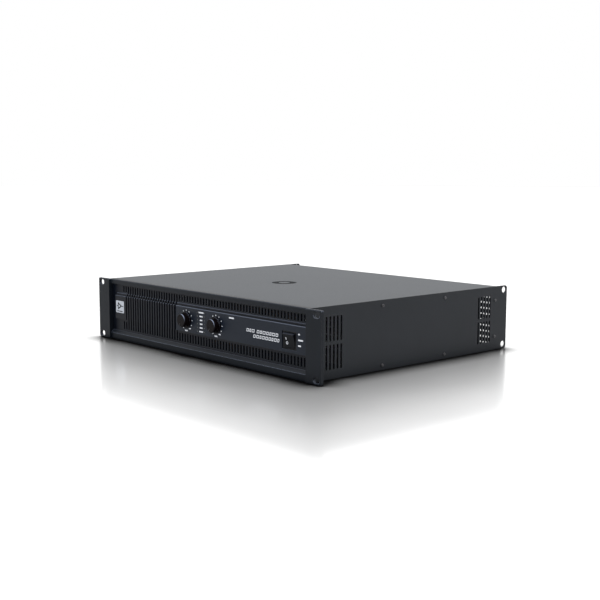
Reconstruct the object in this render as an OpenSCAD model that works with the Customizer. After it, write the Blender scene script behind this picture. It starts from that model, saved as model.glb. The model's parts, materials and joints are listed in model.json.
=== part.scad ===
// Two-unit 19 inch rack power amplifier with two channels.
// Millimetres: X runs across the rack, Y from front to rear, Z up.
// Inside the modules y = 0 is the front face of the rack ears, or behind from_front() the
// face of the panel set back between them. Both end in the part's own frame, whose origin
// is the middle of the underside.

/* [Front panel] */
// Width across the rack ears
panel_w = 482.6; // [480:0.1:486]
// Height of the front panel, two rack units
panel_h = 88.1; // [87.8:0.1:88.9]
// Thickness of the rack ears
ear_t = 3; // [2.5:0.5:4]
// How far the panel between the ears lies behind their face
setback = 3; // [2.5:0.5:4]
// Distance between the ear slots across the rack
slot_span = 465.1; // [464:0.1:466]
// Distance between the ear slots up the rack
slot_rise = 76.2; // [76:0.1:76.4]
// Pitch of the front air slots
slot_pitch = 6; // [5.8:0.1:6.2]

/* [Case] */
// Width over the side panels
body_w = 434; // [433:1:437]
// Depth from the ear face to the rear end of the side panels
body_d = 376; // [374:1:400]
// Thickness of the steel sheet
sheet = 1.5; // [1.2:0.1:1.6]
// How far the side panels reach past the rear panel
rear_reach = 22; // [21:1:24]

/* [Controls] */
// Height of the gain knobs
knob_h = 9; // [8:0.5:12]
// Largest radius of the gain knobs
knob_r = 10.8; // [9.8:0.1:11.5]
// Tilt of the power rocker either side of level
rocker_tilt = 11; // [8:1:12]

/* [Power and cooling] */
// Outer radius of the toroidal transformer
toroid_r = 77; // [70:1:78]
// Height of the toroidal transformer
toroid_h = 66; // [50:1:68]
// Fan blades
blades = 7; // [5:1:9]
// Fins on each heat sink
fins = 9; // [6:1:10]

/* [Hidden] */
$fn = 48;

// Clearances: over is how far a cutter passes a face, gap is between lying sheets,
// and run is the radial clearance of a turning or sliding fit
over = 1;
gap = 0.1;
run = 0.05;

// Front panel and grille
mid_z = panel_h / 2;
corner_r = 4;
top_corner_r = 2;
edge_r = 1.4;
rail_d = 10;
rail_top_z = panel_h - 6.6;
rail_low_z = 9;
chamfer = 1.4;
slope_z = 13.3;
floor_y = 3.9;
recess_half = 214;
rack_slot = [11, 7.5];
grille_t = 2;
grille_half = recess_half - 0.3;
step_y = 2.5;
band_low_z = 31.5;
band_top_z = 65.5;
step_top_z = 69;
bevel = 0.8;
block_x = -201.5;
plate_x = -50.2;
slot_w = 3;
slot_x = -52.7;
left_slots = 22;
rib_slots = 20;
right_slots = 43;
low_field = [16, 27.8];
top_field = [70.4, 79.4];
badge_at = [-190, 48.8];
badge_size = [21, 17.5];
badge_r = 1.5;
badge_t = 0.8;

// Knobs, potentiometers and lamps
knob_x = [-26.2, 38.7];
knob_z = 48;
knob_gap = 0.4;
knob_top_r = 8.7;
knob_bore_y = 7.4;
shaft_r = 3;
bush_r = 3.6;
pot_r = 8.2;
pot_nut_r = 5.8;
board_y = 16;
board_x = [-44, 60];
board_z = [32, 67];
pcb = 1.6;
plug_d = 5;
lamp_x = [-0.9, 14.5];
lamp_low_z = 35.6;
lamp_pitch = 5.05;
lamp_rows = 6;
lamp_r = 0.95;

// Power rocker, its pivot rocker_y behind the panel's face
rocker_x = 181.5;
rocker_z = 46;
rocker_y = 3;
rocker_r = 9.4;
rocker_half = 9.5;
pin_r = 1.5;
pin_l = 1;
pocket = [26, 22];
housing_d = 23;
terminal = [6, 7, 0.8];

// Case
side_x = body_w / 2;
in_x = side_x - sheet;
cover_x = in_x - gap;
top_z = panel_h - gap;
cover_y = setback + rail_d + 0.2;
rear_y = body_d - rear_reach;
flange_y = cover_y + 3.8;
flange_h = 10.5;
front_flange = 12.5;
vent_w = 3;
vent_l = 30.5;
vent_pitch = 6.1;
vent_cols = 5;
vent_y = [30.6, 314.5];
vent_z = [26.25, 60.5];
case_screw_y = [126, 244];
case_screw_z = [6, 81];
end_screw_y = rear_y - 4;
end_screw_z = [18.5, 69];
case_screw = [2.2, 1.4, 1.45, 6]; // radius and height of the head, radius and length of the shank
front_screw = [209, 39.3];
clear_r = 1.6;
rail_hole_r = 4.25;
rail_hole_y = body_d - 6.8;
emblem_at = [-9, 161];
emblem_r = [8, 17.6];
emblem_t = 0.8;
rear_vent_x = 198.5;
rear_vent = [19, 2.4];
rear_vent_z = 7.9;
rear_vent_pitch = 8;
rear_vents = 9;

// Transformer
toroid_at = [0, 115];
toroid_hole = 20;
pad_t = 3;
pad_r = toroid_r - 6;
clamp_r = 42;
stud_r = 4;
stud_top = 82;

// Supply board
supply_y = [205, 318];
supply_half = 84;
supply_z = 9.5;
cap_r = 15;
cap_h = 50;
cap_x = [-63, -21, 21, 63];
cap_y = [227, 262];
relay_x = [-68, -50, 50, 68];
relay_size = [12.6, 29, 25];
rectifier_x = [-20, 20];

// Channels
sink_x = 103;
sink_base = 7;
sink_w = 77;
sink_y = [95, 318];
sink_top = 80;
amp_x = 88.4;
amp_y = [100, 310];
transistors = 8;
transistor_pitch = 26;
transistor = [5, 15.6, 20];

// Fans
fan_w = 80;
fan_x = 143;
fan_t = 25;
fan_hole = 35.75;
fan_bore = 38.2;
fan_y = rear_y - sheet - fan_t;
hub_r = 18;
blade_tip = 37.3;
guard_rings = [12, 22, 32, 42];
guard_wire = 0.9;

// Rear connectors: X of each column and Z of the two rows
row_z = [25, 62];
input_x = [76, 46];
switch_x = 19;
speaker_x = -8;
post_x = [-32.5, -51.5];
inlet_x = -80;
d_size = [26, 31];
d_flange = 3;
d_hole = 12;
d_barrel = 11.8;
d_screw = [9.5, 12];
barrel_y = 328;
cup_y = 342;
tab_size = [8.4, 3];
tab_z = 12.2;
post_r = 3.2;
post_collar = 3;
post_end = rear_y + 18;
inlet_size = [27, 20];
breaker_r = 6;
button_r = 3.2;
lever = [4, 3.4];
mode_travel = 6;
lift_travel = 3;
lead_r = 1.5;
face_y = -(body_d - knob_h - knob_gap + setback) / 2;

// ---- Placing and outlines ----

// Ear-face frame to part frame
module from_face() translate([0, face_y, 0]) children();

// The same for what is set back between the ears
module from_front() from_face() translate([0, setback, 0]) children();

// An outline drawn in X and Z, t thick from y towards the rear
module in_xz(y, t) translate([0, y + t, 0]) rotate([90, 0, 0]) linear_extrude(t) children();

// An outline drawn in Y and Z, t thick from x towards +X
module in_yz(x, t) translate([x, 0, 0]) rotate([90, 0, 90]) linear_extrude(t) children();

// A round bar along Y from depth y
module bar_y(y, h, r) translate([0, y, 0]) rotate([-90, 0, 0]) cylinder(h = h, r = r);

// A round bar along X, centred on x
module bar_x(x, h, r) translate([x - h / 2, 0, 0]) rotate([0, 90, 0]) cylinder(h = h, r = r);

// A box from its lowest and highest corners
module block(low, high) translate(low) cube(high - low);

// Its children, and their mirror image in X
module both_sides() {
    children();
    mirror([1, 0, 0]) children();
}

module round_rect(w, h, r) {
    square([w - 2 * r, h], center = true);
    square([w, h - 2 * r], center = true);
    for (x = [-1, 1], z = [-1, 1])
        translate([x * (w / 2 - r), z * (h / 2 - r)]) circle(r);
}

// A slot with round ends, l long in X
module obround(l, w) {
    square([l - w, w], center = true);
    for (s = [-1, 1]) translate([s * (l - w) / 2, 0]) circle(d = w);
}

// What is cut from a square corner to round it
module corner_cut(r) difference() {
    translate([-over, -over]) square(r + over);
    translate([r, r]) circle(r);
}

// ---- Front ----

// Side view of the panel, depth deep, with its two front edges rounded
module panel_profile(depth) difference() {
    square([depth, panel_h]);
    corner_cut(edge_r);
    translate([0, panel_h]) mirror([0, 1]) corner_cut(edge_r);
}

// Side view of the rails above and below the recess
module rail_profile() intersection() {
    panel_profile(rail_d);
    union() {
        translate([0, rail_top_z]) square([rail_d, panel_h - rail_top_z]);
        polygon([
            [0, 0], [0, rail_low_z], [chamfer, rail_low_z + chamfer],
            [floor_y, slope_z], [rail_d, slope_z], [rail_d, 0]
        ]);
    }
}

// Front view of one ear
module ear_outline() difference() {
    translate([recess_half, 0]) square([panel_w / 2 - recess_half, panel_h]);
    translate([panel_w / 2, 0]) mirror([1, 0]) corner_cut(corner_r);
    translate([panel_w / 2, panel_h]) mirror([1, 0]) mirror([0, 1]) corner_cut(top_corner_r);
}

// The ears, the rails set back between them, and the strips that join the two
module front_panel() color("#2c3035") from_face() difference() {
    union() {
        both_sides() {
            intersection() {
                in_yz(recess_half, panel_w) panel_profile(ear_t);
                in_xz(-over, ear_t + 2 * over) ear_outline();
            }
            block([recess_half, ear_t / 2, edge_r],
                  [in_x - gap, setback + floor_y + grille_t, panel_h - edge_r]);
        }
        translate([0, setback, 0]) in_yz(-in_x + gap, 2 * (in_x - gap)) rail_profile();
    }
    for (x = [-1, 1], z = [-1, 1])
        translate([x * slot_span / 2, 0, mid_z + z * slot_rise / 2])
            in_xz(-over, ear_t + 2 * over) obround(rack_slot[0], rack_slot[1]);
    both_sides() for (z = [-1, 1])
        translate([front_screw[0], 0, mid_z + z * front_screw[1]]) bar_y(setback + 4, rail_d, 1.5);
}

// One slot of the front, as an outline
module air_slot(k, z) translate([slot_x + slot_pitch * k - slot_w / 2, z[0]])
    square([slot_w, z[1] - z[0]]);

// Holes that the controls need through the plate and the grille
module control_holes(bush, lamp) {
    for (x = knob_x) translate([x, knob_z]) circle(bush);
    for (x = lamp_x, i = [0 : lamp_rows - 1]) translate([x, lamp_low_z + i * lamp_pitch]) circle(lamp);
}

// Side view of a layer of the raised band from depth y, t thick, its top edge bevelled
module band_profile(y, t, top) polygon([
    [y, band_low_z], [y, top - bevel], [y + bevel, top], [y + t, top], [y + t, band_low_z]
]);

module front_grille() color("#1f2226") from_front() difference() {
    union() {
        block([-grille_half, floor_y, slope_z + 0.2], [grille_half, floor_y + grille_t, rail_top_z - gap]);
        in_yz(block_x, grille_half - block_x)
            band_profile(step_y, floor_y + grille_t - step_y, step_top_z);
        in_yz(block_x, slot_x + slot_w / 2 - block_x) band_profile(0, step_y, band_top_z);
        for (x = [board_x[0] + 5, board_x[1] - 5], z = [board_z[0] + 3, board_z[1] - 3])
            translate([x, 0, z]) bar_y(floor_y, board_y - floor_y, 2.5);
    }
    in_xz(-over, board_y) {
        for (k = [-left_slots : right_slots]) {
            air_slot(k, low_field);
            air_slot(k, top_field);
        }
        for (k = [-rib_slots : 0]) air_slot(k, [low_field[0], top_field[1]]);
    }
    in_xz(-over, board_y) {
        control_holes(bush_r + gap, lamp_r + gap);
        translate([rocker_x, rocker_z]) square([pocket[0] - 3, pocket[1] - 0.4], center = true);
    }
    translate([badge_at[0], 0, badge_at[1]])
        in_xz(-over, over + badge_t)
            round_rect(badge_size[0] + 2 * gap, badge_size[1] + 2 * gap, badge_r);
}

module control_plate() color("#2e3237") from_front() difference() {
    in_yz(plate_x, grille_half - plate_x) band_profile(0, step_y, band_top_z);
    in_xz(-over, step_y + 2 * over) {
        control_holes(bush_r + gap, lamp_r + gap);
        translate([rocker_x, rocker_z]) square(pocket, center = true);
    }
}

module badge() color("#e8eaec") from_front() translate([badge_at[0], 0, badge_at[1]])
    in_xz(0, badge_t) round_rect(badge_size[0], badge_size[1], badge_r);

module led_lamps() color("#5d6a62") from_front()
    for (x = lamp_x, i = [0 : lamp_rows - 1]) translate([x, 0, lamp_low_z + i * lamp_pitch]) {
        bar_y(0.1, board_y - 4, lamp_r);
        bar_y(board_y - 5, 5, 1.5);
    }

// ---- Gain controls ----

// Knob outline: radius, and height in front of its back face
module knob_profile() difference() {
    union() {
        square([knob_r, 1.4]);
        polygon([
            [0, 0], [knob_r - 0.9, 0], [knob_top_r + 0.3, knob_h - 1],
            [knob_top_r - 0.6, knob_h], [0, knob_h]
        ]);
    }
    square([7.2, 2.4]);
    square([shaft_r, knob_bore_y - knob_gap]);
}

// At rest the pointer is fully anticlockwise, 150 degrees from the top
module gain_knob(x) color("#1d1b1b") from_front() translate([x, -knob_gap, knob_z]) rotate([90, -150, 0])
    difference() {
        rotate_extrude() knob_profile();
        translate([-0.6, 4.5, knob_h - 0.5]) cube([1.2, knob_top_r, 1]);
        for (i = [0 : 17]) rotate([0, 0, i * 20])
            translate([knob_r - 0.1, 0, 1.4]) cylinder(h = knob_h, r = 1.1);
    }

module gain_shaft(x) color("#b9bcc0") from_front() translate([x, 0, knob_z])
    bar_y(-knob_bore_y, knob_bore_y + board_y - 1.5, shaft_r);

module gain_knob_a() gain_knob(knob_x[0]);
module gain_knob_b() gain_knob(knob_x[1]);
module gain_shaft_a() gain_shaft(knob_x[0]);
module gain_shaft_b() gain_shaft(knob_x[1]);

module gain_pots() color("#6f7478") from_front() for (x = knob_x) translate([x, 0, knob_z]) difference() {
    union() {
        bar_y(-2.2, floor_y + grille_t + 2.4, bush_r);
        rotate([90, 0, 0]) cylinder(h = 1.8, r = pot_nut_r, $fn = 6);
        bar_y(floor_y + grille_t + gap, board_y - floor_y - grille_t - gap, pot_r);
    }
    bar_y(-3, board_y + 2, shaft_r + run);
}

// The board and the connector of its flat cable
module front_board() color("#2d5a3c") from_front() {
    block([board_x[0], board_y, board_z[0]], [board_x[1], board_y + pcb, board_z[1]]);
    block([-42, board_y + pcb, 60], [-34, board_y + pcb + plug_d, 66]);
}

// ---- Power rocker ----

// Side view about the pivot: round ends, and a shallow valley in front
module rocker_profile() intersection() {
    circle(rocker_r);
    polygon([[-4, -rocker_r], [-2.9, 0], [-4, rocker_r], [3.5, rocker_r], [3.5, -rocker_r]]);
}

module power_rocker() color("#17181a") from_front() translate([rocker_x, rocker_y, rocker_z])
    rotate([rocker_tilt, 0, 0]) {
        in_yz(-rocker_half, 2 * rocker_half) rocker_profile();
        bar_x(0, 2 * (rocker_half + pin_l), pin_r);
    }

// A thin bezel in the plate's pocket, the box behind it and four blade terminals
module rocker_housing() color("#141516") from_front() translate([rocker_x, 0, rocker_z]) difference() {
    union() {
        in_xz(step_y - 1.3, 1.3) square([pocket[0] - 0.2, pocket[1] - 0.2], center = true);
        in_xz(step_y, housing_d) square([pocket[0] - 3.4, pocket[1] - 0.8], center = true);
        for (x = [-6, 6], z = [-5, 5])
            translate([x - terminal[0] / 2, step_y + housing_d, z - terminal[2] / 2]) cube(terminal);
    }
    in_xz(-over, over + rocker_y + rocker_r + 1)
        square([2 * rocker_half + 0.6, 2 * rocker_r + 0.8], center = true);
    translate([0, rocker_y, 0]) bar_x(0, 2 * (rocker_half + pin_l) + 0.4, pin_r + run);
}

// ---- Case ----

module vents() for (y = vent_y, z = vent_z, i = [0 : vent_cols - 1])
    translate([y + i * vent_pitch, z]) rotate(90) obround(vent_l, vent_w);

// Both side panels are this sheet: the front flange takes the front panel's screws
module side_panel() {
    in_yz(in_x, sheet) difference() {
        union() {
            translate([ear_t, 0]) square([body_d - ear_t - corner_r, top_z]);
            translate([body_d / 2 + ear_t / 2, top_z / 2]) round_rect(body_d - ear_t, top_z, corner_r);
        }
        vents();
        for (y = case_screw_y, z = case_screw_z) translate([y, z]) circle(clear_r);
        for (z = end_screw_z) translate([end_screw_y, z]) circle(clear_r);
        for (z = [-1, 1]) translate([rail_hole_y, mid_z + z * slot_rise / 2]) circle(rail_hole_r);
    }
    difference() {
        block([in_x - front_flange, cover_y, 2], [in_x, cover_y + sheet, top_z - sheet - 0.2]);
        for (z = [-1, 1])
            translate([front_screw[0], cover_y - over, mid_z + z * front_screw[1]]) bar_y(0, 4, clear_r);
    }
}

module side_panel_left() color("#33373c") from_face() mirror([1, 0, 0]) side_panel();
module side_panel_right() color("#33373c") from_face() side_panel();

module top_cover() color("#43484d") from_face() difference() {
    union() {
        block([-cover_x, cover_y, top_z - sheet], [cover_x, rear_y, top_z]);
        both_sides() block([cover_x - sheet, flange_y, top_z - sheet - flange_h + 0.4],
                           [cover_x, rear_y - sheet - gap, top_z - sheet]);
    }
    translate([emblem_at[0], emblem_at[1], top_z - emblem_t])
        washer(emblem_r[1] + gap, emblem_t + over, emblem_r[0] - gap);
    for (y = case_screw_y) translate([0, y, case_screw_z[1]]) bar_x(0, body_w, clear_r);
}

module top_emblem() color("#24272b") from_face()
    translate([emblem_at[0], emblem_at[1], top_z - emblem_t]) washer(emblem_r[1], emblem_t, emblem_r[0]);

module bottom_plate() color("#33373c") from_face() difference() {
    union() {
        block([-cover_x, cover_y, 0], [cover_x, rear_y, sheet]);
        both_sides() block([cover_x - sheet, flange_y, sheet], [cover_x, rear_y - sheet - gap, flange_h]);
    }
    for (y = case_screw_y) translate([0, y, case_screw_z[0]]) bar_x(0, body_w, clear_r);
}

// Where the flanged round connectors go, as [x, z]
d_places = [for (x = input_x, z = row_z) [x, z], for (z = row_z) [speaker_x, z]];
fan_places = [[-fan_x, mid_z], [fan_x, mid_z]];

module rear_outline() difference() {
    translate([-cover_x, sheet + gap]) square([2 * cover_x, top_z - 2 * (sheet + gap)]);
    for (s = [-1, 1], i = [0 : rear_vents - 1])
        translate([s * rear_vent_x, rear_vent_z + rear_vent_pitch * i]) square(rear_vent, center = true);
    for (p = fan_places) translate(p) {
        circle(fan_bore);
        for (x = [-1, 1], z = [-1, 1]) translate([x, z] * fan_hole) circle(2.2);
    }
    for (p = d_places) translate(p) {
        circle(d_hole);
        for (s = [-1, 1]) translate([-s * d_screw[0], s * d_screw[1]]) circle(clear_r);
    }
    for (x = post_x, z = row_z) translate([x, z]) circle(5);
    translate([inlet_x, row_z[0]]) square([inlet_size[0] + 0.4, inlet_size[1] + 0.4], center = true);
    translate([inlet_x, row_z[1]]) circle(breaker_r + gap);
    translate([switch_x, row_z[1]]) square([lever[0] + 1, mode_travel + lever[1] + 2], center = true);
    translate([switch_x, row_z[0]]) square([lever[0] + 1, lift_travel + lever[1] + 2], center = true);
}

module rear_panel() color("#2f3337") from_face() {
    in_xz(rear_y - sheet, sheet) rear_outline();
    both_sides() difference() {
        block([cover_x - sheet, rear_y - 12, 12], [cover_x, rear_y - sheet, 75]);
        for (z = end_screw_z) translate([0, end_screw_y, z]) bar_x(side_x, body_w / 4, clear_r);
    }
}

// A pan-head screw: the shank runs along +Z and the head below it has a cross recess
module screw(head_r, head_h, r, l) difference() {
    union() {
        translate([0, 0, -head_h]) cylinder(h = head_h, r1 = head_r * 0.78, r2 = head_r);
        cylinder(h = l, r = r);
    }
    for (a = [0, 90]) rotate([0, 0, a]) translate([-head_r * 0.5, -0.35, -head_h - over])
        cube([head_r, 0.7, over + head_h * 0.6]);
}

module side_screw(y, z) translate([side_x, y, z]) rotate([0, -90, 0])
    screw(case_screw[0], case_screw[1], case_screw[2], case_screw[3]);

module case_screws() color("#aeb2b6") from_face() both_sides() {
    for (y = case_screw_y, z = case_screw_z) side_screw(y, z);
    for (z = end_screw_z) side_screw(end_screw_y, z);
    for (z = [-1, 1]) translate([front_screw[0], cover_y + sheet, mid_z + z * front_screw[1]])
        rotate([90, 0, 0]) screw(2.8, 1.8, 1.4, 7);
}

// ---- Transformer ----

module washer(r, h, hole) difference() {
    cylinder(h = h, r = r);
    translate([0, 0, -over]) cylinder(h = h + 2 * over, r = hole);
}

module toroid_place(z) from_face() translate([toroid_at[0], toroid_at[1], z]) children();

module transformer() color("#c9a24a") toroid_place(sheet + pad_t) rotate_extrude()
    translate([(toroid_r + toroid_hole) / 2, toroid_h / 2])
        round_rect(toroid_r - toroid_hole, toroid_h, 12);

module transformer_pads() color("#1b1b1b") for (z = [sheet, sheet + pad_t + toroid_h])
    toroid_place(z) washer(z == sheet ? pad_r : clamp_r, pad_t, stud_r + 1);

module transformer_clamp() color("#a9adb1") toroid_place(sheet + 2 * pad_t + toroid_h) {
    washer(clamp_r, 2, stud_r + gap);
    translate([0, 0, 2]) difference() {
        cylinder(h = 5, r = 7.4, $fn = 6);
        translate([0, 0, -over]) cylinder(h = 8, r = stud_r + gap);
    }
}

module transformer_stud() color("#b5b8bb") toroid_place(sheet) cylinder(h = stud_top - sheet, r = stud_r);

// ---- Supply ----

supply_corners = [for (x = [-78, 0, 78], y = [supply_y[0] + 6, supply_y[1] - 5]) [x, y]];

module supply_board() color("#2d5a3c") from_face() difference() {
    block([-supply_half, supply_y[0], supply_z], [supply_half, supply_y[1], supply_z + pcb]);
    for (p = supply_corners) translate([p[0], p[1], 0]) cylinder(h = 20, r = 1.7);
}

module board_standoffs() color("#c2b06a") from_face() {
    for (p = supply_corners) translate([p[0], p[1], sheet]) cylinder(h = supply_z - sheet, r = 3, $fn = 6);
    for (p = supply_corners) translate([p[0], p[1], supply_z]) {
        cylinder(h = pcb, r = 1.4);
        translate([0, 0, pcb]) cylinder(h = 2, r = 2.8);
    }
    both_sides() for (y = [amp_y[0] + 6, amp_y[1] - 6], z = [12, 72])
        translate([amp_x + pcb, y, z]) rotate([0, 90, 0]) cylinder(h = sink_x - amp_x - pcb, r = 3);
}

module reservoir_capacitors() color("#23303f") from_face()
    for (x = cap_x, y = cap_y) translate([x, y, supply_z + pcb]) {
        cylinder(h = cap_h, r = cap_r);
        translate([0, 0, cap_h]) cylinder(h = 1, r = cap_r - 2);
    }

module bridge_rectifiers() color("#3a3c3f") from_face()
    for (x = rectifier_x) translate([x, supply_y[1] - 24, supply_z + pcb]) difference() {
        translate([-14, -14, 0]) cube([28, 28, 11]);
        translate([0, 0, -over]) cylinder(h = 20, r = 2.6);
    }

module output_relays() color("#2b4f7a") from_face()
    for (x = relay_x) translate([x - relay_size[0] / 2, supply_y[1] - 38, supply_z + pcb]) cube(relay_size);

// ---- Channels ----

module heat_sink() {
    pitch = (sink_top - sheet - 6) / (fins - 1);
    translate([0, sink_y[1], 0]) rotate([90, 0, 0]) linear_extrude(sink_y[1] - sink_y[0]) {
        translate([sink_x, sheet]) square([sink_base, sink_top - sheet]);
        for (i = [0 : fins - 1]) translate([sink_x + sink_base, sheet + 2 + i * pitch])
            square([sink_w - sink_base, 2]);
    }
}

// Flat-pack transistors on the sink's inner face, legs bent over to the board
module channel_transistors() for (i = [0 : transistors - 1]) {
    y = sink_y[0] + 20 + i * transistor_pitch;
    reach = sink_x - transistor[0] + 2 - amp_x - pcb;
    translate([sink_x - transistor[0], y - transistor[1] / 2, 34]) {
        cube(transistor);
        for (leg = [-5, 0, 5]) translate([2, transistor[1] / 2 + leg - 0.6, -5]) {
            cube([0.8, 1.2, 5]);
            translate([-reach, 0, 0]) cube([reach, 1.2, 0.8]);
        }
    }
}

// A channel's board stands beside its sink: output choke and small capacitors face the sink
module amp_board() {
    block([amp_x, amp_y[0], 6], [amp_x + pcb, amp_y[1], sink_top]);
    for (i = [0 : 6]) translate([amp_x + pcb, amp_y[0] + 25 + i * 26, i % 2 == 0 ? 15 : 21])
        rotate([0, 90, 0]) cylinder(h = 10, r = 4);
    translate([amp_x + pcb, amp_y[1] - 28, 66]) rotate([0, 90, 0]) difference() {
        cylinder(h = 9, r = 10);
        translate([0, 0, -over]) cylinder(h = 20, r = 4.5);
    }
}

module heat_sink_left() color("#9a9ea2") from_face() mirror([1, 0, 0]) heat_sink();
module heat_sink_right() color("#9a9ea2") from_face() heat_sink();
module output_transistors_left() color("#1c1d1f") from_face() mirror([1, 0, 0]) channel_transistors();
module output_transistors_right() color("#1c1d1f") from_face() channel_transistors();
module amp_board_left() color("#2d5a3c") from_face() mirror([1, 0, 0]) amp_board();
module amp_board_right() color("#2d5a3c") from_face() amp_board();

// ---- Fans ----

module fan_place(x) from_face() translate([x, 0, mid_z]) children();

module fan_frame() {
    difference() {
        in_xz(fan_y, fan_t) round_rect(fan_w, fan_w, 4);
        bar_y(fan_y - over, fan_t + 2 * over, fan_bore);
        for (x = [-1, 1], z = [-1, 1]) translate([x * fan_hole, 0, z * fan_hole])
            bar_y(fan_y - over, fan_t + 2 * over, 2.15);
    }
    difference() {
        union() {
            bar_y(fan_y + fan_t - 4, 4, hub_r - 1);
            bar_y(fan_y + 5, fan_t - 5, 6);
            for (i = [0 : 3]) rotate([0, 45 + i * 90, 0])
                block([hub_r - 3, fan_y + fan_t - 3.5, -2], [fan_bore + 1, fan_y + fan_t, 2]);
        }
        bar_y(fan_y, fan_t - 1, pin_r + run);
    }
}

// A blade is a strip of a thin tube whose axis runs out from the hub
module blade() intersection() {
    difference() {
        bar_y(fan_y + 1.5, fan_t - 7, blade_tip);
        bar_y(fan_y, fan_t, hub_r - 1);
    }
    translate([0, fan_y + 3, 16]) difference() {
        cylinder(h = blade_tip, r = 19.4);
        translate([0, 0, -over]) cylinder(h = blade_tip + 2 * over, r = 18);
        translate([-40, -20, -over]) cube([40, 60, blade_tip + 2 * over]);
    }
}

module fan_impeller() {
    difference() {
        bar_y(fan_y + 1, fan_t - 6.5, hub_r);
        bar_y(fan_y + 3, fan_t, hub_r - 2);
    }
    bar_y(fan_y + 2.5, fan_t - 4.5, pin_r);
    for (i = [0 : blades - 1]) rotate([0, i * 360 / blades, 0]) translate([-9, 0, 0]) blade();
}

// Wire rings on a cross of radial wires with eyelets at the four screws
module fan_guard() {
    y = rear_y + gap + guard_wire;
    for (r = guard_rings) translate([0, y, 0]) rotate([90, 0, 0])
        rotate_extrude() translate([r, 0]) circle(guard_wire, $fn = 16);
    for (i = [0 : 3]) rotate([0, 45 + 90 * i, 0]) {
        translate([guard_rings[0], y, 0]) rotate([0, 90, 0])
            cylinder(h = fan_hole * sqrt(2) - guard_rings[0] - 3, r = guard_wire);
        translate([fan_hole * sqrt(2), y - guard_wire, 0]) difference() {
            bar_y(0, 2 * guard_wire, 4);
            bar_y(-over, 4, 2.2);
        }
    }
}

module fan_frame_left() color("#1a1b1c") fan_place(-fan_x) fan_frame();
module fan_frame_right() color("#1a1b1c") fan_place(fan_x) fan_frame();
module fan_impeller_left() color("#222426") fan_place(-fan_x) fan_impeller();
module fan_impeller_right() color("#222426") fan_place(fan_x) fan_impeller();
module fan_guards() color("#b7babd") for (s = [-1, 1]) fan_place(s * fan_x) fan_guard();

// ---- Rear connectors ----

module rear_screws() color("#8d9195") from_face() {
    for (p = fan_places, x = [-1, 1], z = [-1, 1])
        translate([p[0] + x * fan_hole, rear_y + gap + 2 * guard_wire, p[1] + z * fan_hole])
            rotate([90, 0, 0]) screw(3.6, 2.2, 1.9, 26);
    for (p = d_places, s = [-1, 1])
        translate([p[0] - s * d_screw[0], rear_y + d_flange, p[1] + s * d_screw[1]])
            rotate([90, 0, 0]) screw(2.4, 1.6, 1.3, 9);
}

// Round connector body for the panel: a flange with two screw holes and a barrel behind it
module d_body() {
    in_xz(rear_y, d_flange) difference() {
        round_rect(d_size[0], d_size[1], 3);
        for (s = [-1, 1]) translate([-s * d_screw[0], s * d_screw[1]]) circle(1.5);
    }
    bar_y(barrel_y, rear_y - barrel_y, d_barrel);
}

// A copy of its children for each of a signal connector's three poles
module poles() for (a = [0, 120, 240]) rotate([0, a, 0]) translate([4.7, 0, 0]) children();

// Three-pole socket: a plug's shell enters the ring-shaped groove round the insert
module input_socket() difference() {
    d_body();
    difference() {
        bar_y(cup_y, 20, 9.65);
        bar_y(cup_y - over, rear_y + d_flange - cup_y, 7.6);
    }
    poles() bar_y(cup_y, 20, 1.35);
    block([-tab_size[0] / 2 - 0.3, rear_y + 0.6, tab_z - tab_size[1] / 2 - 0.3],
          [tab_size[0] / 2 + 0.3, rear_y + 10, tab_z + tab_size[1] / 2 + 0.3]);
}

module input_sockets() color("#26282a") from_face()
    for (x = input_x) translate([x, 0, row_z[1]]) input_socket();

module latch_tab(x) color("#8f9396") from_face() translate([x, 0, row_z[1] + tab_z])
    in_xz(rear_y + 2.2, 2.6) round_rect(tab_size[0], tab_size[1], 0.8);
module latch_tab_a() latch_tab(input_x[0]);
module latch_tab_b() latch_tab(input_x[1]);

// Three-pole plug fitting with its pins inside an open cup
module link_sockets() color("#26282a") from_face() for (x = input_x) translate([x, 0, row_z[0]]) {
    difference() {
        d_body();
        bar_y(cup_y, 20, 8.1);
    }
    poles() bar_y(cup_y - over, 13, 1.2);
}

// Four-pole twist-lock socket: the plug's collar enters round a fixed core
module speaker_sockets() color("#1f3c66") from_face()
    for (z = row_z) translate([speaker_x, 0, z]) difference() {
        d_body();
        difference() {
            bar_y(cup_y - 3, 20, 10.5);
            bar_y(cup_y - 4, rear_y + d_flange - cup_y + 3, 6);
        }
        for (a = [45, 225]) rotate([0, a, 0]) block([9.5, cup_y + 4, -1.2], [11.3, rear_y + 10, 1.2]);
    }

// Studs with a banana socket in the end, on insulating collars each side of the panel
module binding_posts() color("#7e8285") from_face() for (x = post_x, z = row_z) translate([x, 0, z]) {
    difference() {
        union() {
            bar_y(rear_y, post_collar, 6.6);
            bar_y(rear_y - sheet - 3, sheet + 3, 4.9);
            bar_y(rear_y - 16, 16 + post_end - rear_y, post_r);
        }
        bar_y(post_end - 14, 20, 2.05);
    }
}

// Thumb nut, screwed down on its collar at rest
module post_nut(x, z, tint) color(tint) from_face() translate([x, 0, z]) difference() {
    bar_y(rear_y + post_collar + 0.3, post_end - rear_y - post_collar - 1.3, 6.4);
    bar_y(rear_y, 30, post_r + run);
    for (i = [0 : 11]) rotate([0, i * 30, 0]) translate([6.9, 0, 0])
        bar_y(rear_y + post_collar + 2.3, 30, 0.9);
}
module post_nut_a_pos() post_nut(post_x[0], row_z[1], "#b3262a");
module post_nut_a_neg() post_nut(post_x[1], row_z[1], "#1c1c1d");
module post_nut_b_pos() post_nut(post_x[0], row_z[0], "#b3262a");
module post_nut_b_neg() post_nut(post_x[1], row_z[0], "#1c1c1d");

// Three-pin mains inlet: outline of the plug's cup, narrow side down
module inlet_cup() polygon([
    [-12.2, 8.2], [12.2, 8.2], [12.2, -3.5], [7.5, -8.2], [-7.5, -8.2], [-12.2, -3.5]
]);

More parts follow.
